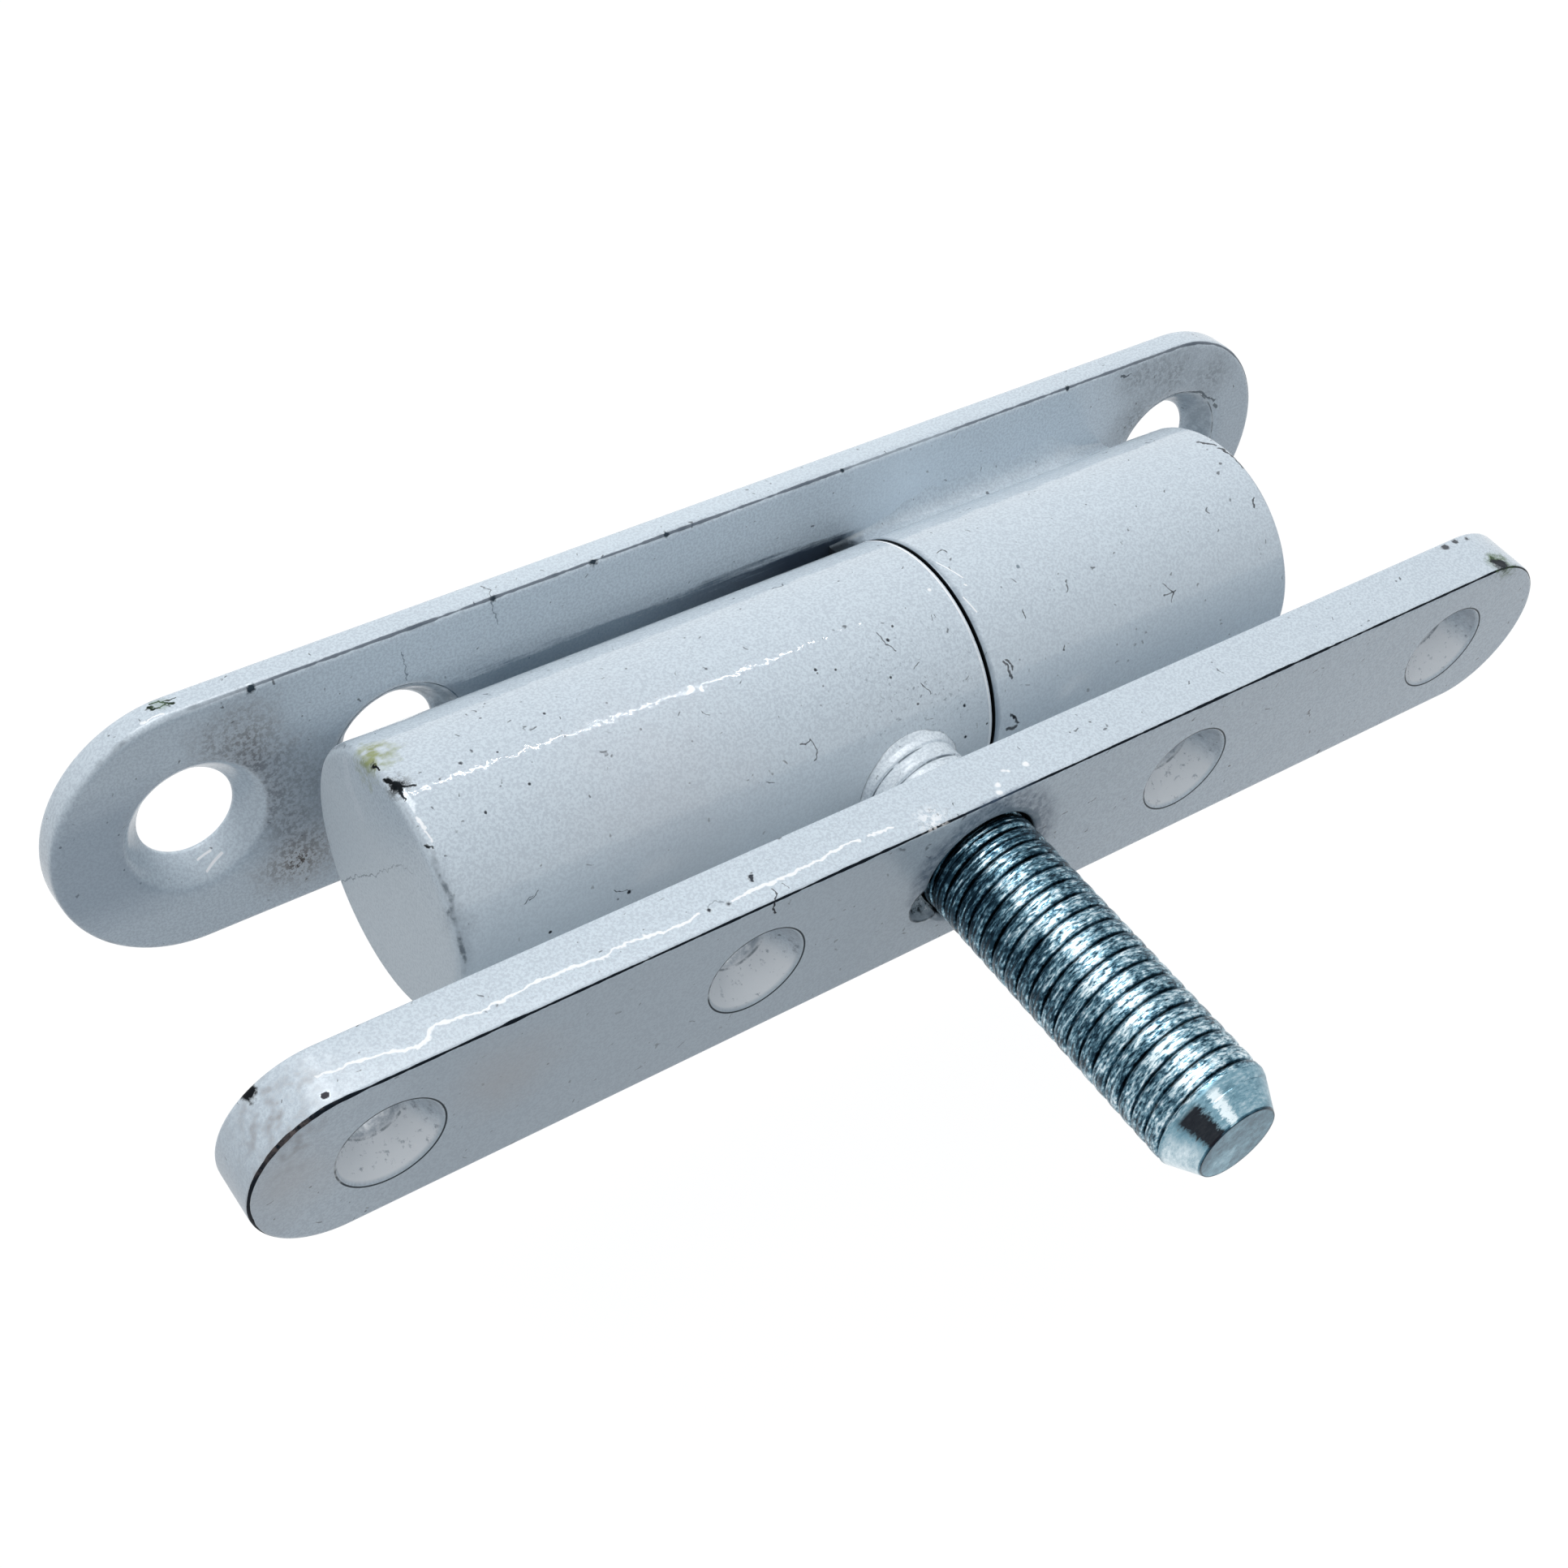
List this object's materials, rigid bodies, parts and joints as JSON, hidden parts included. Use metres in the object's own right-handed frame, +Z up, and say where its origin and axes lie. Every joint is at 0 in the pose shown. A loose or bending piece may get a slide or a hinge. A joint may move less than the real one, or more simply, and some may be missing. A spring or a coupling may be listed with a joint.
{
  "type": "barrel hinge",
  "caption": "Two-knuckle barrel hinge in light enamel: a countersunk wall leaf carries the short knuckle, and the long knuckle a radial threaded stud through a flat screw-on strip",
  "frame": {"origin": "on the hinge axis, half way between the two knuckles", "axes": "+X along the hinge axis from the long knuckle to the short knuckle, +Y from the barrel to the leaf, square to the leaf, +Z up across the leaf; the part rests as pictured, on the leaf's lower long edge with the stud side hanging 7.6 degrees below level"},
  "size_m": [0.1252, 0.0667, 0.0228],
  "materials": {
    "enamel": "gloss, light cool grey, worn at the edges",
    "blue_zinc": "blue passivated zinc plate, bright and mottled",
    "bare_steel": "ground"
  },
  "bodies": {
    "wall_side": {"wall_leaf": "enamel", "short_knuckle": "enamel", "knuckle_weld": "enamel", "hinge_pin": "bare_steel", "thrust_ball": "bare_steel"},
    "door_side": {"long_knuckle": "enamel", "threaded_stud": "blue_zinc", "door_strip": "enamel"}
  },
  "joints": [
    {"name": "hinge_turn", "type": "hinge", "parent": "wall_side", "child": "door_side", "pos_m": [0, 0, 0], "axis": [1, 0, 0], "range_deg": [-117.6, 102.4]}
  ]
}
